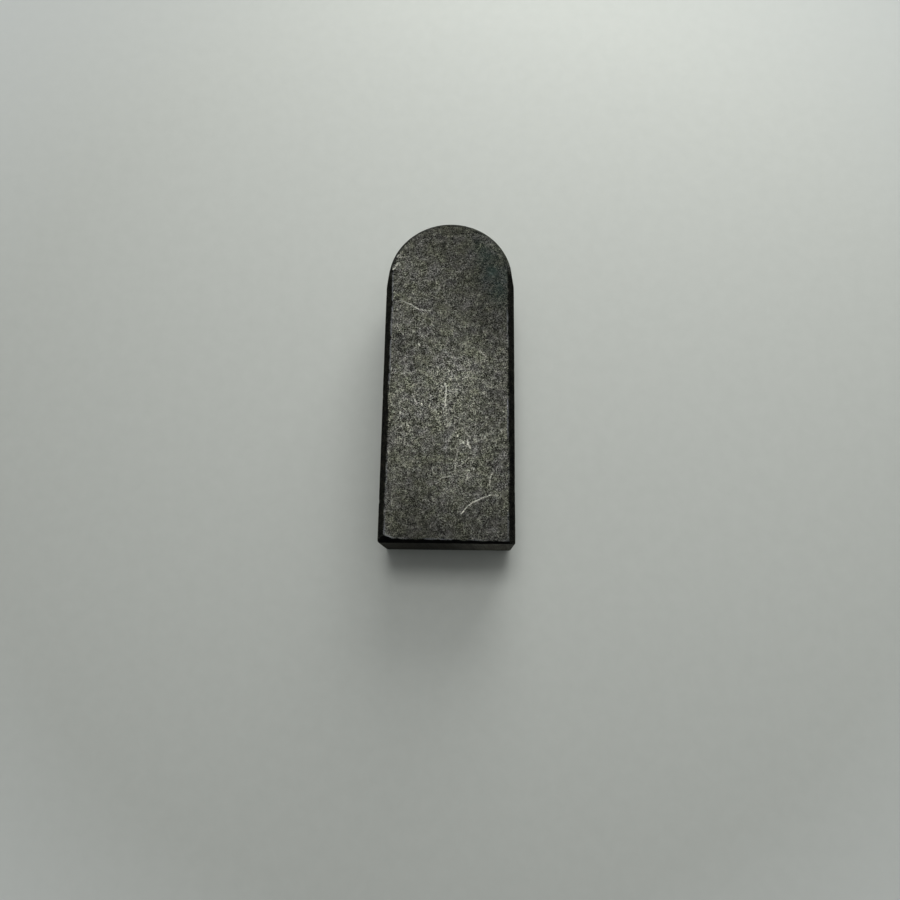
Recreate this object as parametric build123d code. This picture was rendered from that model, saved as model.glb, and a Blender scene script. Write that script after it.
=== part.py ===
from build123d import *
import os
from math import acos, atan2, cos, hypot, sin

# Parallel key, form AB: a chamfered steel bar with one square end and one round end.
# Sizes are in millimetres. The key lies flat: X runs across its flanks, Y from the square
# end to the round end, and Z up from its bottom face. The finished key's origin is the
# middle of its bottom; it is built with the square end at Y = 0 and moved there last.

# Bar
width = 14.0  # from flank to flank
height = 9.0  # from the bottom face to the top face
length = 35.5  # from the square end to the tip of the round end
long_edge_chamfer = 0.65  # at 45 degrees, on the bar's four long edges

# Round end
end_relief = 0.2  # what its radius falls short of half the width
shoulder_lead = 0.66  # the flanks stop this far short of the end's centre
round_edge_break = 0.35  # chamfer round its top and bottom edges

# Square end, sawn off and broken with a file, so that the break on its top edge slants
top_break_left = 0.35
top_break_right = 0.18
bottom_break = 0.3
upright_break = 0.1  # on its two upright edges

# Facet filed across the square end's upper left corner, measured from the bare corner
corner_facet_x = 2.4
corner_facet_y = 1.0
corner_facet_z = 0.9

# Nick knocked into the left shoulder, where the round end's upper edge begins
nick_radius = 0.55
nick_depth = 0.2
nick_inset = 0.45  # from the round end's wall to the middle of the nick
nick_angle = 165  # degrees from +X, about the round end's centre

flank_x = width / 2
end_radius = flank_x - end_relief
end_centre_y = length - end_radius


def plan_outline():
    """Outline from above: parallel flanks, short straight shoulders and the round end."""
    shoulder_y = end_centre_y - shoulder_lead
    # Each shoulder runs from its flank's end along the line that just touches the round end.
    corner_distance = hypot(flank_x, shoulder_lead)
    touch_angle = acos(end_radius / corner_distance) - atan2(shoulder_lead, flank_x)
    touch_x = end_radius * cos(touch_angle)
    touch_y = end_centre_y + end_radius * sin(touch_angle)
    with BuildSketch() as outline:
        with BuildLine():
            Polyline(
                (-touch_x, touch_y),
                (-flank_x, shoulder_y),
                (-flank_x, 0),
                (flank_x, 0),
                (flank_x, shoulder_y),
                (touch_x, touch_y),
            )
            ThreePointArc((touch_x, touch_y), (0, length), (-touch_x, touch_y))
        make_face()
    return outline.sketch


def ended_block():
    """Full-height block with both ends formed and their plain edges broken."""
    block = extrude(plan_outline(), height)
    block = chamfer(block.edges().filter_by(GeomType.CIRCLE), round_edge_break)
    block = chamfer(block.edges().filter_by(Axis.Z).group_by(Axis.Y)[0], upright_break)
    square_end = block.faces().sort_by(Axis.Y)[0]
    return chamfer(square_end.edges().sort_by(Axis.Z)[0], bottom_break)


def chamfered_bar():
    """Bar stock along +Y with its four long edges chamfered."""
    with BuildSketch(Plane.XZ) as section:
        with Locations((0, height / 2)):
            Rectangle(width, height)
        chamfer(section.vertices(), long_edge_chamfer)
    return extrude(section.sketch, -length)


def plane_through(first, second, third):
    """Plane through three points, facing the side from which they run anticlockwise."""
    along = second - first
    return Plane(origin=first, x_dir=along, z_dir=along.cross(third - first))


def top_break():
    """Slanting break along the square end's top edge, facing out of the key."""
    return plane_through(
        Vector(-flank_x, top_break_left, height),
        Vector(-flank_x, 0, height - top_break_left),
        Vector(flank_x, top_break_right, height),
    )


def corner_facet():
    """Facet across the square end's upper left corner, facing out of the key."""
    return plane_through(
        Vector(-flank_x, corner_facet_y, height),
        Vector(-flank_x, 0, height - corner_facet_z),
        Vector(-flank_x + corner_facet_x, 0, height),
    )


def nick():
    """Ball that scoops the nick out of the left shoulder's upper edge."""
    middle = Vector(end_radius - nick_inset, 0, 0).rotate(Axis.Z, nick_angle)
    lift = nick_radius - nick_depth
    return Pos(middle.X, end_centre_y + middle.Y, height + lift) * Sphere(nick_radius)


def parallel_key():
    """The whole key: bar stock with its ends formed, the file's cuts and the nick."""
    key = chamfered_bar() & ended_block()
    for cut in (top_break(), corner_facet()):
        key = split(key, bisect_by=cut, keep=Keep.BOTTOM)
    key -= nick()
    return Pos(0, -length / 2, 0) * key


os.makedirs("parts", exist_ok=True)
export_step(parallel_key(), "parts/parallel_key.step")
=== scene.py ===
from math import acos, atan2, ceil, cos, hypot, pi, radians, sin, sqrt
import bpy
import numpy as np
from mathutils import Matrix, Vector, geometry, kdtree


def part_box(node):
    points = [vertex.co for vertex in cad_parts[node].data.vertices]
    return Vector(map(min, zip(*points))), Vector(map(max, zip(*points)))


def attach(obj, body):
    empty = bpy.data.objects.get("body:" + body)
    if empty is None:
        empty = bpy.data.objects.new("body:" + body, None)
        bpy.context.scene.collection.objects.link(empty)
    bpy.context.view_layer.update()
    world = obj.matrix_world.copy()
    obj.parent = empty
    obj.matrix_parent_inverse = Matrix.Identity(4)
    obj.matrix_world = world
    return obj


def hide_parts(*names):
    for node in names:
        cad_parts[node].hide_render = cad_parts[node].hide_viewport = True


# A worn steel parallel key. One dense, closed mesh stands for the plain CAD solid: it has
# the same planes and nick, with softened edges, a pitted skin, scratches, dents and saw marks.
# Sizes are in millimetres, with X across the key, Y from its square end to its round end
# and Z up from its bottom face. key_mesh() moves them into the frame's metres.

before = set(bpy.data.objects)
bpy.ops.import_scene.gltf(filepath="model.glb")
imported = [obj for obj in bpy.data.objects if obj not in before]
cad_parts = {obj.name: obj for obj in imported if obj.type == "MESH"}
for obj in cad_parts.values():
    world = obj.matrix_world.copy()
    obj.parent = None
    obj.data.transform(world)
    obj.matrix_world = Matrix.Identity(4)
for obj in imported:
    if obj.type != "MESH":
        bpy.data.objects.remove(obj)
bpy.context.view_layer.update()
MM = 0.001
low, high = (Vector(corner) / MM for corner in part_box("parallel_key"))
WIDTH, LENGTH, HEIGHT = high - low

# Chamfers, breaks and the nick, as in the CAD model
LONG_CHAMFER = 0.65
END_RELIEF = 0.2
SHOULDER_LEAD = 0.66
ROUND_BREAK = 0.35
TOP_BREAK_LEFT, TOP_BREAK_RIGHT = 0.35, 0.18
BOTTOM_BREAK = 0.3
UPRIGHT_BREAK = 0.1
CORNER_FACET = (2.4, 1.0, 0.9)
NICK_RADIUS = 0.55
NICK_DEPTH = 0.2
NICK_INSET = 0.45
NICK_ANGLE = radians(165)

# The round end's radius and centre, where the flanks stop, and the angle about that centre
# at which the shoulders touch the round end
FLANK_X = WIDTH / 2
END_RADIUS = FLANK_X - END_RELIEF
END_Y = LENGTH - END_RADIUS
SHOULDER_Y = END_Y - SHOULDER_LEAD
TOUCH_ANGLE = acos(END_RADIUS / hypot(FLANK_X, SHOULDER_LEAD)) - atan2(SHOULDER_LEAD, FLANK_X)
# How much the corner facet's equation changes with each millimetre across it
FACET_STEEPNESS = hypot(*(1 / reach for reach in CORNER_FACET))
# The middle of the ball that scoops the nick out
NICK_REACH = END_RADIUS - NICK_INSET
NICK_PLACE = (
    NICK_REACH * cos(NICK_ANGLE),
    END_Y + NICK_REACH * sin(NICK_ANGLE),
    HEIGHT + NICK_RADIUS - NICK_DEPTH,
)

# The walls, in the order in which the outline runs round them
SQUARE_END, RIGHT_FLANK, ROUND_END, LEFT_FLANK = range(4)

# How finely the mesh is divided
RIM_STEP = 0.13
TOP_STEP = 0.125
BOTTOM_STEP = 0.2
SCRATCH_STEP = 0.09
WALL_ROWS = 40
ROW_CROWDING = 0.1
TOP_INSETS = (0.06, 0.12, 0.18, 0.25, 0.31, 0.37, 0.44, 0.51, 0.58, 0.64, 0.7, 0.78, 0.88)
BOTTOM_INSETS = (0.1, 0.22, 0.32, 0.42, 0.54, 0.64, 0.74, 0.88)
NICK_RINGS = (0.12, 0.24, 0.33, 0.39, 0.44, 0.5)
NICK_SPOKES = 24
NICK_MARGIN = 0.05
LEAST_GAP = 0.04
# A triangle smaller than this is flat, and a point this near the outline is on it.
FLAT_AREA = 1e-4
TOUCHING = 1e-4
# Shares of the grid's step: how unevenly its points lie, and how far they stay off the rows
GRID_JITTER = 0.14
GRID_CLEARANCE = 0.6

# The widths over which edges are rounded and one finish gives way to the next
EDGE_ROUNDING = 0.06
ZONE_BLEND = 0.05
CHAMFER_BLEND = 0.15
# How far apart slopes are measured, and how often points are moved onto the rounded skin
SLOPE_STEP = 0.002
PROJECTIONS = 5

# The skin's layers of unevenness: where, how high, how large the lumps are, and the seed
LAYERS = (
    ("skin", 0.008, 6, 1),
    ("skin", 0.005, 0.62, 2),
    ("skin", 0.0035, 0.3, 3),
    ("wall", 0.005, (9, 7, 0.24), 7),
    ("chamfer", 0.006, (0.2, 5, 0.2), 8),
)
PIT_DEPTH = 0.018
# The saw lines on the square end lean this far for each millimetre of height, or by this
# angle in the material.
SAW_LEAN = 0.09
SAW_ANGLE = radians(5)
SAW_HEIGHT = 0.008
# How far down the square end is black from its top edge: partly black oxide, partly a painted
# dark reflection carrying on the break above it
BLACKENED_HEIGHT = 0.75

# The flat map of the skin, in millimetres: its side, the gap between its parts, and where
# the square end starts, clear of the round end's long wall
MAP_SIDE = 48.6
MAP_GAP = 0.4
MAP_SQUARE_END = 26.5

# Scratches on the top face: the points along each, its half width, depth and brightness.
# The last three are cuts beside and in the nick.
SCRATCHES = (
    (((-5.3, 26.2), (-4.3, 25.75), (-3.3, 25.15), (-2.1, 24.95)), 0.04, 0.006, 0.5),
    (((1.5, 2.95), (1.95, 3.55), (2.6, 4.1), (3.5, 4.55), (4.5, 4.92)), 0.035, 0.006, 0.75),
    (((-0.4, 16.8), (-0.2, 16.2), (-0.28, 15.1), (-0.3, 14.2)), 0.045, 0.006, 1.0),
    (((-0.35, 14.2), (-0.55, 13.95)), 0.045, 0.005, 0.6),
    (((-3.75, 15.5), (-3.3, 14.5)), 0.04, 0.005, 0.6),
    (((1.05, 9.4), (0.85, 8.2), (0.8, 7.3)), 0.04, 0.005, 0.5),
    (((2.05, 10.7), (2.1, 10.2), (2.35, 9.8)), 0.04, 0.005, 0.65),
    (((4.6, 7.2), (4.4, 6.6), (4.35, 5.9)), 0.04, 0.005, 0.4),
    (((0.9, 7.1), (0.1, 6.75), (-0.7, 6.6)), 0.04, 0.004, 0.3),
    (((2.0, 19.6), (2.2, 18.7)), 0.04, 0.005, 0.5),
    (((3.3, 20.4), (4.0, 19.7)), 0.04, 0.004, 0.35),
    (((-5.6, 23.2), (-4.9, 22.2)), 0.04, 0.004, 0.3),
    (((-3.3, 21.25), (-3.15, 21.0)), 0.05, 0.006, 0.6),
    (((-4.25, 12.3), (-4.1, 12.05)), 0.06, 0.006, 0.5),
    (((2.05, 6.95), (2.15, 6.6)), 0.06, 0.006, 0.5),
    (((-5.85, 31.4), (-5.72, 31.55)), 0.06, 0.012, 0.7),
    (((-6.25, 29.88), (-6.04, 30.12)), 0.05, 0.02, 0.85),
    (((-6.0, 30.38), (-5.76, 30.56)), 0.08, 0.025, 0.85),
)
SCRATCH_EDGE = 0.06

# Small dark pits in the top face: the middle and radius of each, and their depth as a
# share of the radius
PITS = (
    ((-2.6, 20.1), 0.2),
    ((-4.9, 23.4), 0.16),
    ((2.5, 34.0), 0.15),
    ((-5.2, 28.4), 0.13),
    ((-5.83, 31.2), 0.12),
    ((-5.6, 31.12), 0.1),
    ((-5.5, 30.62), 0.12),
    ((-6.28, 29.65), 0.14),
    ((3.9, 26.6), 0.12),
    ((-1.2, 11.7), 0.12),
)
PIT_STEEPNESS = 0.2

# Dents knocked into the edges: how many along the long edges, the square end's top edge
# and the round end's top edge
LONG_EDGE_DENTS, SQUARE_END_DENTS, ROUND_END_DENTS = 46, 12, 14

# Where the top face is painted lighter or darker than the rest: the middle, the spread, the
# change. The lighter patches along its middle are a painted highlight, the lamp's sheen on the
# metal; the darker patches are partly that sheen's painted falloff, partly the metal's own uneven
# tone.
TOP_TONE_AND_SHEEN = (
    ((0.6, 15.5), (2.6, 6.5), 0.64),
    ((-3.6, 15.5), (3.0, 6.5), 0.38),
    ((-4.6, 30.5), (2.2, 2.2), 0.2),
    ((4.9, 27.0), (2.8, 4.5), -0.42),
    ((-4.5, 3.0), (2.8, 3.2), -0.28),
    ((-1.0, 0.4), (5.0, 1.4), -0.25),
    ((3.8, 6.5), (2.6, 4.0), 0.15),
    ((1.0, 33.5), (5.0, 4.5), -0.4),
    ((3.0, 1.5), (5.0, 3.0), -0.2),
    ((0.4, 13.0), (1.6, 8.0), 0.15),
    ((0.2, 17.8), (1.8, 1.8), 0.22),
    ((1.0, 24.6), (5.5, 2.2), -0.16),
    ((2.6, 24.6), (1.8, 2.0), -0.14),
    ((-5.2, 21.5), (1.6, 1.6), -0.2),
    ((-3.5, 0.8), (2.6, 1.5), -0.2),
)

# Where the edges of the flat faces are rubbed brightest: the middle, the spread, how much more
RUBS = (
    ((-5.2, 0.8), (1.6, 1.0), 1.0),
    ((-6.3, 25.0), (0.8, 5.0), 0.8),
    ((0.0, 0.3), (7.0, 0.8), 0.35),
    ((6.3, 2.8), (0.6, 1.2), 0.5),
)

# Linear colours
# FLECK: bright specks of the metal, which crowd into the painted highlight as painted glints
FLECK = (0.75, 0.76, 0.68)
STAIN = (0.015, 0.038, 0.038)
RUBBED = (0.24, 0.25, 0.28)
# BLACKEST is a painted dark reflection on the breaks and the square end's top band
BLACKEST = (0.001, 0.001, 0.0015)
BARE = (0.92, 0.92, 0.82)
SURROUND = (0.52, 0.548, 0.537)


def wobble(x, y, z):
    """The unevenness of a chamfer along the key, which differs on each of its edges."""
    phase = 1.3 * np.sign(x) + 0.7 * np.sign(z - HEIGHT / 2)
    waves = ((0.41, 0.016), (0.97, 0.012), (1.9, 0.006))
    return sum(size * np.sin(pace * (y + 7 * phase) + phase) for pace, size in waves)


def face_distances(points):
    """How far points lie beyond each face and break, and inside the nick's ball, by name."""
    x, y, z = points.T
    across = np.abs(x)
    beyond_middle = np.abs(z - HEIGHT / 2) - HEIGHT / 2
    angle = np.clip(np.arctan2(y - END_Y, across), TOUCH_ANGLE, pi / 2)
    round_end = across * np.cos(angle) + (y - END_Y) * np.sin(angle) - END_RADIUS
    chamfer = (across - FLANK_X + beyond_middle + LONG_CHAMFER) / sqrt(2)
    top_break = TOP_BREAK_LEFT + (TOP_BREAK_RIGHT - TOP_BREAK_LEFT) * (x / WIDTH + 0.5)
    facet_x, facet_y, facet_z = CORNER_FACET
    facet = 1 - (x + FLANK_X) / facet_x - y / facet_y - (HEIGHT - z) / facet_z
    return {
        "top": z - HEIGHT,
        "bottom": -z,
        "flanks": across - FLANK_X,
        "square_end": -y,
        "round_end": round_end,
        "long_chamfers": chamfer + wobble(x, y, z),
        "round_breaks": (round_end + beyond_middle + ROUND_BREAK) / sqrt(2),
        "upright_breaks": (across - FLANK_X - y + UPRIGHT_BREAK) / sqrt(2),
        "bottom_break": (BOTTOM_BREAK - y - z) / sqrt(2),
        "top_break": (top_break - y + z - HEIGHT) / sqrt(2),
        "corner_facet": facet / FACET_STEEPNESS,
        "nick": NICK_RADIUS - np.linalg.norm(points - NICK_PLACE, axis=1),
    }


def skin_distance(points):
    """How far points lie outside the key, with its edges rounded off."""
    distances = list(face_distances(points).values())
    largest = distances[0]
    for distance in distances[1:]:
        overlap = np.maximum(EDGE_ROUNDING - np.abs(largest - distance), 0)
        largest = np.maximum(largest, distance) + overlap**2 / (4 * EDGE_ROUNDING)
    return largest


def outward(points):
    """Unit normals of the rounded key at points near its skin."""
    slopes = [
        skin_distance(points + SLOPE_STEP * axis) - skin_distance(points - SLOPE_STEP * axis)
        for axis in np.eye(3)
    ]
    normals = np.stack(slopes, axis=1)
    return normals / np.linalg.norm(normals, axis=1, keepdims=True)


def plan_distance(plan):
    """How far points lie outside the key's outline seen from above."""
    distances = face_distances(np.column_stack([plan, np.full(len(plan), HEIGHT / 2)]))
    walls = ("flanks", "square_end", "round_end", "upright_breaks")
    return np.max([distances[name] for name in walls], axis=0)


def straight_run(start, end, step):
    """Points at even steps from start up to end, without end, and the normal to their right."""
    along = np.subtract(end, start)
    size = np.hypot(*along)
    count = ceil(size / step)
    points = np.array(start) + along * np.arange(count)[:, None] / count
    return points, np.tile([along[1] / size, -along[0] / size], (count, 1))


def round_run(step):
    """The same along the round end's arc, between the points where it touches the shoulders."""
    sweep = pi - 2 * TOUCH_ANGLE
    count = ceil(END_RADIUS * sweep / step)
    angles = TOUCH_ANGLE + sweep * np.arange(count) / count
    radial = np.column_stack([np.cos(angles), np.sin(angles)])
    return (0, END_Y) + END_RADIUS * radial, radial


def rim(step, inset=0.0):
    """Points round the outline seen from above, anticlockwise, moved in by inset.

    Also returns the wall that each point starts. The shoulders belong to the round end,
    and the upright breaks to the square end.
    """
    corner = FLANK_X - UPRIGHT_BREAK
    touch = (END_RADIUS * cos(TOUCH_ANGLE), END_Y + END_RADIUS * sin(TOUCH_ANGLE))
    right = [(-corner, 0), (corner, 0), (FLANK_X, UPRIGHT_BREAK), (FLANK_X, SHOULDER_Y), touch]
    left = [(-x, y) for x, y in right[:0:-1]]
    runs = [straight_run(*ends, step) for ends in zip(right, right[1:])]
    runs += [round_run(step)]
    runs += [straight_run(*ends, step) for ends in zip(left, left[1:])]
    run_walls = (SQUARE_END, SQUARE_END, RIGHT_FLANK, *(ROUND_END,) * 3, LEFT_FLANK, SQUARE_END)
    walls = np.repeat(run_walls, [len(points) for points, _ in runs])
    points, normals = (np.vstack(parts) for parts in zip(*runs))
    plan = points - inset * normals
    kept = plan_distance(plan) < -inset + TOUCHING
    return plan[kept], walls[kept]


def scratch_rows():
    """Points that follow each scratch, so that its groove has vertices of its own."""
    rows = []
    for path, half_width, _, _ in SCRATCHES:
        runs = [straight_run(*ends, SCRATCH_STEP) for ends in zip(path, path[1:])]
        points, normals = (np.vstack(parts) for parts in zip(*runs))
        offsets = (0, half_width, half_width + SCRATCH_EDGE)
        rows += [points - normals * offset * side for offset in offsets for side in (-1, 1)]
    return np.vstack(rows)


def nick_rows():
    """Rings of points in and around the nick, so that its rim is crisp."""
    angles = np.arange(NICK_SPOKES) * (2 * pi / NICK_SPOKES)
    ring = np.column_stack([np.cos(angles), np.sin(angles)])
    points = np.vstack([NICK_PLACE[:2] + radius * ring for radius in NICK_RINGS])
    return points[plan_distance(points) < -NICK_MARGIN]


def grid(step, inset, seed):
    """A slightly uneven grid of points that fills the outline moved in by inset."""
    row_step = step * sqrt(3) / 2
    x, y = np.meshgrid(np.arange(-FLANK_X, FLANK_X, step), np.arange(0, LENGTH, row_step))
    x[1::2] += step / 2
    points = np.column_stack([x.ravel(), y.ravel()])
    points += np.random.default_rng(seed).uniform(-GRID_JITTER, GRID_JITTER, points.shape) * step
    return points[plan_distance(points) < -inset - step * GRID_CLEARANCE]


def thinned(points):
    """The points without those closer than LEAST_GAP to an earlier one."""
    tree = kdtree.KDTree(len(points))
    for index, (x, y) in enumerate(points):
        tree.insert((x, y, 0), index)
    tree.balance()
    kept = np.ones(len(points), bool)
    for index, (x, y) in enumerate(points):
        if kept[index]:
            for _, near, _ in tree.find_range((x, y, 0), LEAST_GAP):
                if near > index:
                    kept[near] = False
    return points[kept]


def sheet(edge, insets, step, seed, extra=()):
    """Plan points and triangles of the key's top or bottom. The edge's points come first."""
    rows = [rim(step, inset)[0] for inset in insets]
    points = thinned(np.vstack([edge, *extra, *rows, grid(step, insets[-1], seed)]))
    loop = [(i, (i + 1) % len(edge)) for i in range(len(edge))]
    corners = [Vector(point) for point in points.tolist()]
    vertices, _, triangles, *_ = geometry.delaunay_2d_cdt(corners, loop, [], 1, 1e-6, False)
    plan = np.array([tuple(vertex) for vertex in vertices])
    triangles = np.array(triangles)
    a, b, c = (plan[triangles[:, k]] for k in range(3))
    areas = np.cross(b - a, c - a) / 2
    triangles[areas < 0] = triangles[areas < 0][:, ::-1]
    # Points along a straight run of the edge can get flat triangles of their own.
    flat = (triangles < len(edge)).all(axis=1) & (np.abs(areas) < FLAT_AREA)
    return plan, triangles[~flat]


def drop(plan, at_top):
    """How far the sharp-edged key's skin lies below its top face, or above its bottom face."""
    level = np.full(len(plan), HEIGHT if at_top else 0)
    distances = face_distances(np.column_stack([plan, level]))
    slanting = ("long_chamfers", "round_breaks", "top_break" if at_top else "bottom_break")
    depths = [distances[name] * sqrt(2) for name in slanting]
    if at_top:
        depths.append(distances["corner_facet"] * FACET_STEEPNESS * CORNER_FACET[2])
    return np.maximum(np.max(depths, axis=0), 0)


def noise(points, size, seed):
    """Smooth, repeatable noise between -1 and 1, with lumps of about this size."""
    cells = 64
    table = np.random.default_rng(seed).uniform(-1, 1, (cells,) * 3)
    scaled = points / np.array(size)
    cell = np.floor(scaled).astype(int)
    share = scaled - cell
    share = share * share * (3 - 2 * share)
    total = np.zeros(len(points))
    for corner in np.ndindex(2, 2, 2):
        weight = np.prod(np.where(corner, share, 1 - share), axis=1)
        total += weight * table[tuple(((cell + corner) % cells).T)]
    return total


def rise(values, start, width):
    """0 up to start, 1 from a width beyond it, and straight between them."""
    return np.clip((values - start) / width, 0, 1)


def bell(values, middle, spread):
    """1 at the middle, falling off smoothly to both sides."""
    return np.exp(-(((values - middle) / spread) ** 2))


def patch(points, middle, spread):
    """1 at a place seen from above, falling off smoothly round it."""
    return bell(points[:, 0], middle[0], spread[0]) * bell(points[:, 1], middle[1], spread[1])


def zone(distances, *names, blend=ZONE_BLEND):
    """1 where one of the named faces forms the skin, 0 elsewhere, with a narrow blend."""
    inside = np.max([distances[name] for name in names], axis=0)
    others = [distance for name, distance in distances.items() if name not in names]
    outside = np.max(others, axis=0)
    return np.clip(0.5 + (inside - outside) / blend, 0, 1)


def skin_zones(distances):
    """Which kind of face forms the skin at each point, from 0 to 1."""
    return {
        "skin": 1.0,
        "top": zone(distances, "top"),
        "flat": zone(distances, "top", "bottom"),
        "chamfer": zone(distances, "long_chamfers", blend=CHAMFER_BLEND),
        "break": zone(distances, "top_break", "corner_facet", "bottom_break"),
        "round": zone(distances, "round_breaks"),
        "end": zone(distances, "square_end", "upright_breaks"),
        "wall": zone(distances, "flanks", "round_end"),
    }


def path_distance(points, path):
    """How far points lie from a path of straight runs, seen from above."""
    plan = points[:, :2]
    nearest = np.full(len(points), np.inf)
    for start, end in zip(path, path[1:]):
        run = np.subtract(end, start)
        share = np.clip((plan - start) @ run / (run @ run), 0, 1)
        nearest = np.minimum(nearest, np.hypot(*(plan - start - share[:, None] * run).T))
    return nearest


def top_marks(points, distances):
    """The depth of the scratches and pits, how bright the scratches are and how dark the pits."""
    on_top = rise(distances["top"], -0.4, 0.1)
    broken = 0.85 + 0.15 * np.clip(noise(points, 0.45, 31) * 3, -1, 1)
    depth, bright, dark = np.zeros((3, len(points)))
    for path, half_width, deepest, brightest in SCRATCHES:
        share = 1 - rise(path_distance(points, path), half_width, SCRATCH_EDGE)
        depth = np.maximum(depth, deepest * share)
        bright = np.maximum(bright, brightest * broken * share)
    for middle, radius in PITS:
        share = np.clip(1 - (np.hypot(*(points[:, :2] - middle).T) / radius) ** 2, 0, 1)
        depth = np.maximum(depth, PIT_STEEPNESS * radius * share)
        dark = np.maximum(dark, np.sqrt(share))
    return depth * on_top, bright * on_top, dark * on_top


def edge_dents():
    """Small dents knocked into the long edges and both ends: places, radii, depths."""
    random = np.random.default_rng(7)
    dents = []
    for _ in range(LONG_EDGE_DENTS):
        side = random.choice((-1, 1))
        level = random.choice((0, 1))
        inner = random.choice((0, LONG_CHAMFER))
        z = HEIGHT - LONG_CHAMFER + inner if level else LONG_CHAMFER - inner
        place = (side * (FLANK_X - inner), random.uniform(0.6, SHOULDER_Y), z)
        dents.append((place, random.uniform(0.12, 0.42), random.uniform(0.01, 0.035)))
    for _ in range(SQUARE_END_DENTS):
        place = (random.uniform(-6, 6), random.uniform(0, 0.3), HEIGHT)
        dents.append((place, random.uniform(0.15, 0.5), random.uniform(0.01, 0.03)))
    for _ in range(ROUND_END_DENTS):
        angle = random.uniform(0.5, pi - 0.3)
        place = (END_RADIUS * cos(angle), END_Y + END_RADIUS * sin(angle), HEIGHT)
        dents.append((place, random.uniform(0.2, 0.45), random.uniform(0.02, 0.05)))
    return dents


def relief(points, zones, mark_depth):
    """How far each point of the skin stands out from the smooth key."""
    height = np.zeros(len(points))
    for name, size, lumps, seed in LAYERS:
        height += zones[name] * size * noise(points, lumps, seed)
    leaning = points - (SAW_LEAN, 0, 0) * points[:, 2:]
    height += zones["end"] * SAW_HEIGHT * noise(leaning, (0.22, 9, 9), 6)
    pits = rise(noise(points, 0.42, 4), 0.55, 0.25)
    height -= PIT_DEPTH * pits * np.clip(0.6 + noise(points, 3.1, 5), 0, 1)
    for place, radius, depth in edge_dents():
        share = np.linalg.norm(points - place, axis=1) / radius
        height -= depth * np.clip(1 - share**2, 0, 1) ** 2
    height -= mark_depth
    # The face that the key lies on stays flat against the floor.
    return np.where(points[:, 2] < 0.01, np.minimum(height, 0), height)


def edge_wear(points, distances, zones):
    """Where edges are rubbed bright, and where the dark breaks reach onto the flat faces."""
    flat_gap = np.maximum(distances["top"], distances["bottom"])
    slants = ("long_chamfers", "top_break", "corner_facet")
    flat_gap -= np.max([distances[name] for name in slants], axis=0)
    wall_gap = np.maximum(distances["flanks"], distances["round_end"])
    wall_gap -= np.maximum(distances["long_chamfers"], distances["round_breaks"])
    ragged = rise(0.02 + 0.16 * noise(points, 0.42, 15) - flat_gap, 0, 0.05) * zones["flat"]
    rubbed = (1 - rise(np.abs(flat_gap - 0.05), 0, 0.1)) * zones["flat"] * (1 - ragged)
    rubbed += (1 - rise(np.abs(wall_gap - 0.05), 0, 0.12)) * zones["wall"]
    patchy = 0.25 + 1.3 * noise(points, (1.6, 2.4, 1.6), 12)
    patchy += sum(more * patch(points, middle, spread) for middle, spread, more in RUBS)
    return rubbed * np.clip(patchy, 0, 1), ragged


def finish_and_painted_light_masks(points, distances, zones, bright, dark):
    """How much each kind of finish, and of painted light and shade, shows at each point of the
    skin. Only the tone with its painted light and shade goes below 0.
    """
    x, y, z = points.T
    rubbed, ragged = edge_wear(points, distances, zones)
    # The round end's breaks are blackest along their outer edge and on the left.
    outer_round = np.maximum(rise(distances["round_end"], -0.28, 0.1), 0.5)
    outer_round *= 0.8 - 0.3 * x / FLANK_X
    # The square end's top band is black: partly black oxide, partly a painted dark reflection.
    wander = 0.15 * noise(points, (1.1, 3, 3), 14)
    blackened = zones["end"] * rise(z + wander, HEIGHT - BLACKENED_HEIGHT, 0.15)
    # The chamfers and breaks are near black: partly black oxide, partly a painted dark
    # reflection.
    oxide_and_dark_reflection = zones["chamfer"] + zones["break"] + zones["round"] * outer_round
    # The top face's tone: a painted highlight along its middle, its painted falloff towards the
    # ends, and the metal's own uneven tone.
    tone_and_painted_light = sum(change * patch(points, middle, spread) for middle, spread, change in TOP_TONE_AND_SHEEN)
    # The square end is painted darker as painted shade, most of all along its foot by the floor,
    # and less towards both sides.
    end_painted_shade = 0.74 + 0.12 * bell(z, 0, 1.2) - 0.82 * bell(x, 5.2, 3.8) - 0.15 * bell(x, -6.2, 1.4)
    tone_and_painted_light = tone_and_painted_light * zones["top"] - end_painted_shade * zones["end"]
    # One stain leans along the right side of the round end.
    stain = bell(x + 0.28 * (y - 29), 4.9, 1.5) * bell(y, 29.8, 3.6)
    stain *= np.clip(0.75 + 0.5 * noise(points, 0.9, 13), 0, 1) * zones["top"]
    return {
        "oxide_and_dark_reflection": np.clip(oxide_and_dark_reflection + ragged + blackened + dark, 0, 1),
        "blackest": np.clip(zones["break"] + blackened, 0, 1),
        "sawn": zones["end"],
        "wall": zones["wall"],
        "bright": bright,
        "rubbed": rubbed,
        "stain": stain,
        "tone_and_painted_light": tone_and_painted_light,
    }


def wall_levels():
    """The wall rows' shares of the height, closer together towards both edges."""
    even = np.arange(WALL_ROWS + 1) / WALL_ROWS
    return even - ROW_CROWDING * np.sin(2 * pi * even)


def sharp_skin(edge, top, bottom, levels):
    """Points of the sharp-edged key: the top, the bottom, then the wall rows from below."""
    top_z = HEIGHT - drop(top, True)
    bottom_z = drop(bottom, False)
    upper, lower = top_z[: len(edge)], bottom_z[: len(edge)]
    rows = [np.column_stack([edge, lower + (upper - lower) * level]) for level in levels[1:-1]]
    return np.vstack([np.column_stack([top, top_z]), np.column_stack([bottom, bottom_z]), *rows])


def skin_faces(count, top, top_triangles, bottom, bottom_triangles):
    """The triangles of both sheets, then the squares of each column of the walls."""
    wall_start = len(top) + len(bottom)
    row_starts = [len(top)] + [wall_start + count * row for row in range(WALL_ROWS - 1)] + [0]
    faces = top_triangles.tolist() + (bottom_triangles + len(top)).tolist()
    for column in range(count):
        after = (column + 1) % count
        for lower, upper in zip(row_starts, row_starts[1:]):
            faces.append([lower + column, lower + after, upper + after, upper + column])
    return faces


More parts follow.
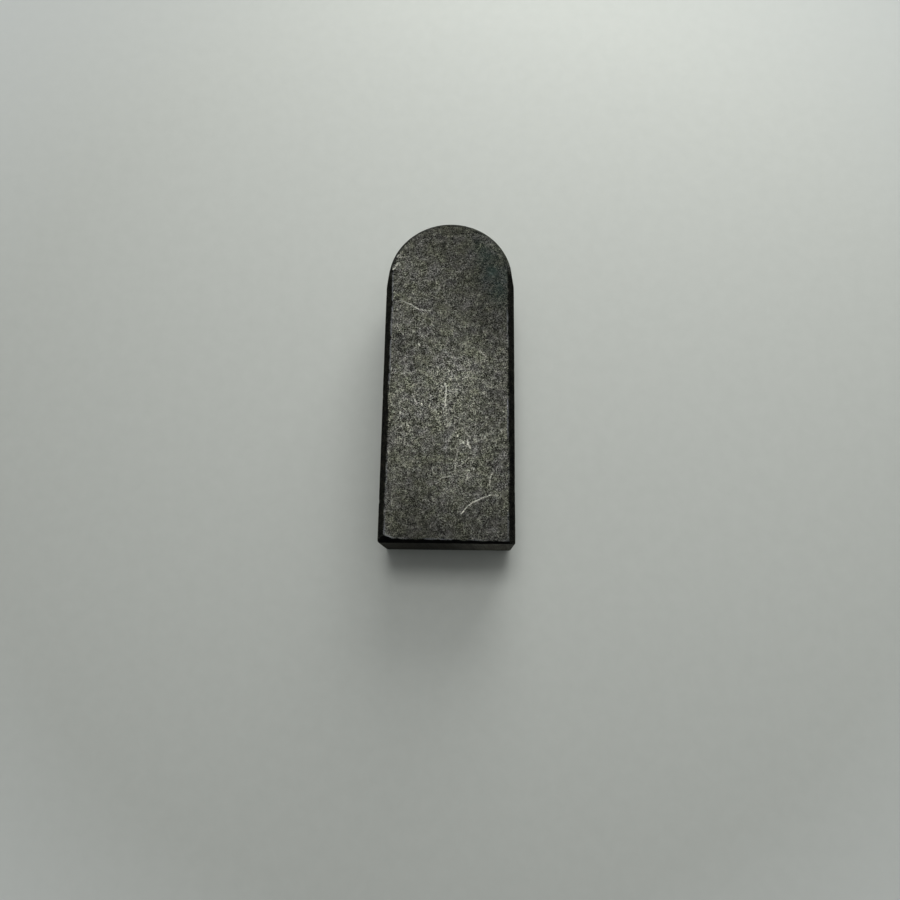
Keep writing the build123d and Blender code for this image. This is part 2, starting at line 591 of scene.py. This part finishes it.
def uv_of(top_corners, bottom_corners, edge, walls, levels):
    """One flat map for the whole skin: both sheets, then the walls, each at the same scale."""
    top_uv = top_corners.reshape(-1, 2) + (FLANK_X + MAP_GAP, MAP_GAP)
    bottom_uv = bottom_corners.reshape(-1, 2) + (FLANK_X + WIDTH + 2.5 * MAP_GAP, MAP_GAP)
    steps = np.hypot(*(np.roll(edge, -1, axis=0) - edge).T)
    reach = np.concatenate([[0], np.cumsum(steps)])
    above = LENGTH + 3 * MAP_GAP
    # Each wall's corner in the map, and whether it runs along the map's first axis
    corners = {
        SQUARE_END: ((MAP_SQUARE_END, above), True),
        RIGHT_FLANK: ((2 * WIDTH + 4 * MAP_GAP, MAP_GAP), False),
        ROUND_END: ((MAP_GAP, above), True),
        LEFT_FLANK: ((2 * WIDTH + HEIGHT + 5.5 * MAP_GAP, MAP_GAP), False),
    }
    start = {wall: reach[np.argmax(walls == wall)] for wall in corners}
    quads = []
    for column, wall in enumerate(walls):
        (u, v), along_u = corners[wall]
        near, far = reach[column] - start[wall], reach[column + 1] - start[wall]
        # The square end's last corner comes after the left flank, at the end of the walk.
        if wall == SQUARE_END and column > len(walls) / 2:
            near, far = near - reach[-1], far - reach[-1]
        for lower, upper in zip(levels, levels[1:]):
            ring = ((near, lower), (far, lower), (far, upper), (near, upper))
            quads += [(u + a, v + b) if along_u else (u + b, v + a) for a, b in ring]
    return np.vstack([top_uv, bottom_uv, quads]) / MAP_SIDE


def key_mesh():
    """The key's closed mesh in the frame's metres, with its map and its masks of finish and
    painted light.
    """
    edge, walls = rim(RIM_STEP)
    top, top_triangles = sheet(edge, TOP_INSETS, TOP_STEP, 21, [scratch_rows(), nick_rows()])
    bottom, bottom_triangles = sheet(edge, BOTTOM_INSETS, BOTTOM_STEP, 22)
    bottom_triangles = bottom_triangles[:, ::-1]
    levels = wall_levels()
    points = sharp_skin(edge, top, bottom, levels)
    for _ in range(PROJECTIONS):
        points -= skin_distance(points)[:, None] * outward(points)
    distances = face_distances(points)
    zones = skin_zones(distances)
    mark_depth, bright, dark = top_marks(points, distances)
    masks = finish_and_painted_light_masks(points, distances, zones, bright, dark)
    points += outward(points) * relief(points, zones, mark_depth)[:, None]

    faces = skin_faces(len(edge), top, top_triangles, bottom, bottom_triangles)
    mesh = bpy.data.meshes.new("key")
    mesh.from_pydata((points - (0, LENGTH / 2, 0)) * MM, [], faces)
    mesh.polygons.foreach_set("use_smooth", [True] * len(faces))
    uv = uv_of(top[top_triangles], bottom[bottom_triangles], edge, walls, levels * HEIGHT)
    mesh.uv_layers.new(name="OFBake").uv.foreach_set("vector", uv.astype(np.float32).ravel())
    for name, values in masks.items():
        mask = mesh.attributes.new(name, "FLOAT", "POINT")
        mask.data.foreach_set("value", values.astype(np.float32))
    mesh.update()
    return mesh


class Tree:
    """Short ways to add and join the nodes of a material or world."""

    def __init__(self, owner):
        owner.use_nodes = True
        self.owner = owner
        self.nodes = owner.node_tree.nodes
        self.links = owner.node_tree.links
        self.shader = self.nodes.get("Principled BSDF")

    def put(self, value, socket):
        """Sets a socket, or links it where the value is another node's socket."""
        if isinstance(value, bpy.types.NodeSocket):
            self.links.new(value, socket)
        else:
            socket.default_value = value

    def node(self, kind, **inputs):
        node = self.nodes.new("ShaderNode" + kind)
        for name, value in inputs.items():
            self.put(value, node.inputs[name.replace("_", " ")])
        return node

    def math(self, operation, *values, clamp=False):
        node = self.nodes.new("ShaderNodeMath")
        node.operation = operation
        node.use_clamp = clamp
        for value, socket in zip(values, node.inputs):
            self.put(value, socket)
        return node.outputs[0]

    def contrast(self, value, middle, strength):
        """How far a value is from the middle, times the strength."""
        return self.math("MULTIPLY", self.math("SUBTRACT", value, middle), strength)

    def noise(self, place, scale, detail=2.0, roughness=0.5, distortion=0.0):
        node = self.node("TexNoise", Vector=place, Scale=scale, Detail=detail)
        self.put(roughness, node.inputs["Roughness"])
        self.put(distortion, node.inputs["Distortion"])
        return node.outputs["Fac"]

    def stretched(self, place, scale):
        """The coordinates with a scale of their own on each axis."""
        node = self.nodes.new("ShaderNodeVectorMath")
        node.operation = "MULTIPLY"
        self.put(place, node.inputs[0])
        node.inputs[1].default_value = scale
        return node.outputs[0]

    def ramp(self, value, *stops):
        """A colour ramp. Each stop is a place and a linear colour."""
        node = self.node("ValToRGB", Fac=value)
        elements = node.color_ramp.elements
        while len(elements) < len(stops):
            elements.new(0.5)
        for element, (place, colour) in zip(elements, stops):
            element.position = place
            element.color = (*colour, 1)
        return node.outputs["Color"]

    def span(self, value, low_in, high_in, low_out, high_out):
        """Maps one range onto another and stays inside it."""
        node = self.nodes.new("ShaderNodeMapRange")
        for number, socket in zip((value, low_in, high_in, low_out, high_out), node.inputs):
            self.put(number, socket)
        return node.outputs[0]

    def mix(self, share, first, second, blend="MIX"):
        node = self.nodes.new("ShaderNodeMix")
        node.data_type = "RGBA"
        node.blend_type = blend
        self.put(share, node.inputs["Factor"])
        self.put(first if not isinstance(first, tuple) else (*first, 1), node.inputs[6])
        self.put(second if not isinstance(second, tuple) else (*second, 1), node.inputs[7])
        return node.outputs[2]

    def specks(self, place, scale, share, radius):
        """1 inside small specks. This share of the cells has one, of at most this radius."""
        cells = self.node("TexVoronoi", Vector=place, Scale=scale)
        chance = self.node("SeparateColor", Color=cells.outputs["Color"]).outputs["Red"]
        reach = self.span(chance, 1 - share, 1.0, 0.0, radius)
        inside = self.math("SUBTRACT", reach, cells.outputs["Distance"])
        return self.math("MULTIPLY", inside, 14.0, clamp=True)

    def mask(self, name, share=1.0):
        """One of the mesh's masks of finish and painted light, times a share."""
        node = self.nodes.new("ShaderNodeAttribute")
        node.attribute_name = name
        value = node.outputs["Fac"]
        return value if share == 1.0 else self.math("MULTIPLY", value, share)


def grey(value):
    return (value, value, value)


def grain_of(tree, place, fine):
    """The fine uneven grain of the skin, with thin threads and more contrast in patches."""
    coarse = tree.noise(place, 1.9, 2.0, 0.55, 0.3)
    threads = tree.math("SUBTRACT", tree.noise(place, 3.6, 1.0, 0.5, 1.5), 0.5)
    threads = tree.span(tree.math("ABSOLUTE", threads), 0.0, 0.06, 0.09, -0.01)
    grain = tree.math("ADD", fine, tree.contrast(coarse, 0.5, 0.42))
    grain = tree.math("ADD", grain, threads)
    strength = tree.span(tree.noise(place, 0.8, 2.0, 0.5), 0.35, 0.65, 0.8, 1.4)
    # The contrast rises where the top face is painted lighter, and falls where it or the square
    # end is painted darker.
    strength = tree.math("ADD", strength, tree.mask("tone_and_painted_light", 0.4))
    return tree.math("ADD", tree.contrast(grain, 0.52, strength), 0.52)


def grained(tree, place, grain, dots):
    """The flat faces' colour: the grain, a little tint, bright flecks and dark dots."""
    colour = tree.ramp(
        grain,
        (0.36, grey(0.022)),
        (0.45, grey(0.050)),
        (0.51, grey(0.088)),
        (0.57, grey(0.145)),
        (0.64, grey(0.25)),
        (0.72, grey(0.42)),
    )
    tint = tree.ramp(
        tree.noise(place, 0.7, 4.0, 0.65),
        (0.36, (1.0, 0.99, 0.93)),
        (0.64, (1.0, 1.03, 0.79)),
    )
    colour = tree.mix(1.0, colour, tint, "MULTIPLY")
    flecks = tree.specks(tree.stretched(place, (1, 0.55, 1)), 1.8, 0.4, 0.24)
    # The flecks crowd into the top face's painted highlight, where they are painted glints of it.
    flecks = tree.math("MULTIPLY", flecks, tree.span(tree.mask("tone_and_painted_light"), -0.15, 0.5, 0.05, 0.85))
    colour = tree.mix(flecks, colour, FLECK)
    return tree.mix(tree.math("MULTIPLY", dots, 0.85), colour, grey(0.008))


def drawn(tree, lines, grain):
    """The walls' colour, with the fine lines of drawn bar along them."""
    return tree.ramp(
        tree.math("ADD", lines, tree.contrast(grain, 0.5, 0.5)),
        (0.3, (0.070, 0.070, 0.066)),
        (0.5, (0.125, 0.124, 0.118)),
        (0.7, (0.23, 0.228, 0.218)),
    )


def sawn(tree, place, streaks, grain):
    """The square end's colour: leaning saw lines under uneven grime."""
    colour = tree.ramp(
        tree.math("ADD", streaks, tree.contrast(grain, 0.5, 0.6)),
        (0.32, grey(0.035)),
        (0.5, grey(0.078)),
        (0.68, grey(0.17)),
    )
    grime = tree.ramp(
        tree.noise(place, 0.8, 6.0, 0.72, 0.4),
        (0.36, (0.42, 0.40, 0.33)),
        (0.5, (0.85, 0.80, 0.68)),
        (0.64, (1.15, 1.15, 1.05)),
    )
    return tree.mix(1.0, colour, grime, "MULTIPLY")


def worn(tree, place, colour, grain):
    """A colour with uneven tone, painted light and shade, and wear over it: the stain, rubbed
    edges, oxide with a painted dark reflection, and bare cuts.
    """
    tone_and_painted_light = tree.span(tree.noise(place, 0.28, 2.0, 0.5), 0.35, 0.65, 0.85, 1.13)
    # The mask carries the painted highlight and painted shade into the colour.
    tone_and_painted_light = tree.math("MULTIPLY", tone_and_painted_light, tree.math("ADD", tree.mask("tone_and_painted_light"), 1.0))
    tone_and_painted_light = tree.node("CombineColor", Red=tone_and_painted_light, Green=tone_and_painted_light, Blue=tone_and_painted_light).outputs[0]
    colour = tree.mix(1.0, colour, tone_and_painted_light, "MULTIPLY")
    colour = tree.mix(tree.mask("stain", 0.6), colour, STAIN)
    colour = tree.mix(tree.mask("rubbed", 0.8), colour, RUBBED)
    # Black oxide, made near black as a painted dark reflection on the chamfers and breaks.
    oxide_and_dark_reflection = tree.ramp(
        grain,
        (0.42, (0.002, 0.002, 0.003)),
        (0.52, (0.008, 0.008, 0.007)),
        (0.66, (0.034, 0.032, 0.026)),
    )
    colour = tree.mix(tree.mask("oxide_and_dark_reflection"), colour, oxide_and_dark_reflection)
    # The breaks and the square end's top band are made blacker still, as a painted dark
    # reflection.
    colour = tree.mix(tree.mask("blackest", 0.85), colour, BLACKEST)
    return tree.mix(tree.mask("bright"), colour, BARE)


def gloss(tree, fine):
    """Dull metal, duller on the oxide and painted dark reflection and on the sawn end. Bare cuts
    scatter more light.
    """
    metal = tree.span(tree.mask("oxide_and_dark_reflection"), 0.0, 1.0, 0.9, 1.0)
    metal = tree.math("SUBTRACT", metal, tree.mask("bright", 0.6))
    tree.put(metal, tree.shader.inputs["Metallic"])
    tree.shader.inputs["Specular Tint"].default_value = (0.6, 0.6, 0.58, 1)
    roughness = tree.span(fine, 0.3, 0.7, 0.24, 0.36)
    roughness = tree.math("ADD", roughness, tree.mask("oxide_and_dark_reflection", 0.12))
    roughness = tree.math("ADD", roughness, tree.mask("sawn", 0.4))
    roughness = tree.math("SUBTRACT", roughness, tree.mask("bright", 0.05), clamp=True)
    tree.put(roughness, tree.shader.inputs["Roughness"])


def bumps(tree, grain, dots, lines, streaks):
    """The grain's bumps, fainter on walls and on the oxide and painted dark reflection, and the
    drawn and sawn lines over them.
    """
    height = tree.math("SUBTRACT", grain, tree.math("MULTIPLY", dots, 0.4))
    bump = tree.node("Bump", Distance=0.06 * MM, Height=height)
    smooth = tree.math("ADD", tree.mask("wall"), tree.mask("oxide_and_dark_reflection"))
    tree.put(tree.span(smooth, 0.0, 1.0, 0.9, 0.2), bump.inputs["Strength"])
    marks = tree.mix(tree.mask("sawn"), lines, streaks)
    marks_bump = tree.node("Bump", Distance=0.03 * MM, Height=marks, Normal=bump.outputs[0])
    marked = tree.math("MAXIMUM", tree.mask("sawn"), tree.mask("wall"))
    tree.put(tree.math("MULTIPLY", marked, 0.6), marks_bump.inputs["Strength"])
    tree.put(marks_bump.outputs[0], tree.shader.inputs["Normal"])


def steel():
    """Worn key steel: grained flat faces, drawn walls, a sawn end, oxide with a painted dark
    reflection, painted light and shade, and bare scratches.
    """
    tree = Tree(bpy.data.materials.new("worn key steel"))
    place = tree.stretched(tree.node("TexCoord").outputs["Object"], (1 / MM,) * 3)
    fine = tree.noise(place, 7.8, 2.0, 0.6, 0.6)
    grain = grain_of(tree, place, fine)
    dots = tree.specks(place, 1.2, 0.16, 0.17)
    lines = tree.noise(tree.stretched(place, (0.5, 0.13, 15.0)), 1.0, 3.0, 0.6)
    leaning = tree.node("VectorRotate", Vector=place, Angle=SAW_ANGLE)
    leaning.rotation_type = "Y_AXIS"
    streaks = tree.noise(tree.stretched(leaning.outputs[0], (12, 1, 0.05)), 1.0, 4.0, 0.7)

    colour = grained(tree, place, grain, dots)
    colour = tree.mix(tree.mask("wall"), colour, drawn(tree, lines, grain))
    colour = tree.mix(tree.mask("sawn"), colour, sawn(tree, place, streaks, grain))
    tree.put(worn(tree, place, colour, grain), tree.shader.inputs["Base Color"])
    gloss(tree, fine)
    bumps(tree, grain, dots, lines, streaks)
    return tree.owner


def seen(tree):
    """1 for what the camera, the metal or glass sees, 0 for the light that falls on things."""
    path = tree.nodes.new("ShaderNodeLightPath").outputs
    either = tree.math("MAXIMUM", path["Is Camera Ray"], path["Is Glossy Ray"])
    return tree.math("MAXIMUM", either, path["Is Transmission Ray"])


def floor():
    """A pale sheet. Far from the key it fades into the pale surround, so that no edge shows."""
    half = 3.0
    mesh = bpy.data.meshes.new("floor")
    corners = [(-half, -half, 0), (half, -half, 0), (half, half, 0), (-half, half, 0)]
    mesh.from_pydata(corners, [], [(0, 1, 2, 3)])
    sheet_object = bpy.data.objects.new("floor", mesh)
    bpy.context.collection.objects.link(sheet_object)
    tree = Tree(bpy.data.materials.new("pale floor"))
    place = tree.node("TexCoord").outputs["Object"]
    colour = tree.ramp(
        tree.noise(tree.stretched(place, (1 / MM,) * 3), 0.6, 4.0, 0.6),
        (0.3, (0.575, 0.605, 0.58)),
        (0.7, (0.595, 0.625, 0.60)),
    )
    tree.put(colour, tree.shader.inputs["Base Color"])
    tree.shader.inputs["Roughness"].default_value = 0.7
    far = tree.nodes.new("ShaderNodeVectorMath")
    far.operation = "LENGTH"
    tree.put(place, far.inputs[0])
    fade = tree.span(far.outputs["Value"], 0.055, 0.11, 0.0, 1.0)
    pale = tree.node("Emission", Color=(*SURROUND, 1))
    blend = tree.node("MixShader", Fac=tree.math("MULTIPLY", fade, seen(tree)))
    tree.put(tree.shader.outputs[0], blend.inputs[1])
    tree.put(pale.outputs[0], blend.inputs[2])
    tree.put(blend.outputs[0], tree.nodes["Material Output"].inputs["Surface"])
    mesh.materials.append(tree.owner)


def area_light(name, place, size, watts, mirrored):
    """A square soft light that faces the key. The metal mirrors it only where that is asked."""
    data = bpy.data.lights.new(name, "AREA")
    data.size = size
    data.energy = watts
    data.color = (1.0, 0.99, 0.96)
    light = bpy.data.objects.new(name, data)
    light.location = place
    light.rotation_euler = (-Vector(place)).to_track_quat("-Z", "Y").to_euler()
    light.visible_glossy = mirrored
    bpy.context.collection.objects.link(light)


def studio():
    """A pale surround, dimmer overhead, which adds only a little light of its own."""
    world = bpy.data.worlds.new("studio")
    tree = Tree(world)
    direction = tree.node("TexCoord").outputs["Generated"]
    upward = tree.node("SeparateXYZ", Vector=direction).outputs["Z"]
    overhead = tuple(0.16 * level for level in SURROUND)
    colour = tree.ramp(upward, (0.3, SURROUND), (0.8, overhead))
    background = tree.nodes["Background"]
    tree.put(colour, background.inputs["Color"])
    tree.put(tree.span(seen(tree), 0.0, 1.0, 0.3, 1.0), background.inputs["Strength"])
    bpy.context.scene.world = world


def lighting():
    """A lamp that shines in the top face, and broad light from above and beyond the round end."""
    area_light("lamp", (-0.011, 0.083, 0.30), 0.08, 0.2, True)
    area_light("ceiling light", (0.03, 0.06, 0.25), 0.3, 0.21, False)
    area_light("window", (0.033, 0.13, 0.07), 0.10, 0.15, False)
    studio()


def camera():
    """Close above the key, a little towards its square end."""
    data = bpy.data.cameras.new("camera")
    data.lens = 28.16
    data.sensor_width = 36
    data.clip_start = 0.001
    view = bpy.data.objects.new("camera", data)
    view.location = (0.00215, -0.02416, 0.07991)
    view.rotation_euler = (radians(12.71), radians(1.34), radians(0.81))
    bpy.context.collection.objects.link(view)
    bpy.context.scene.camera = view


def key():
    """The finished key, in place of the CAD solid."""
    piece = bpy.data.objects.new("steel_key", key_mesh())
    bpy.context.collection.objects.link(piece)
    piece.data.materials.append(steel())
    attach(piece, "root")
    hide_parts("parallel_key")


key()
floor()
lighting()
camera()
bpy.context.scene.view_settings.view_transform = "Standard"
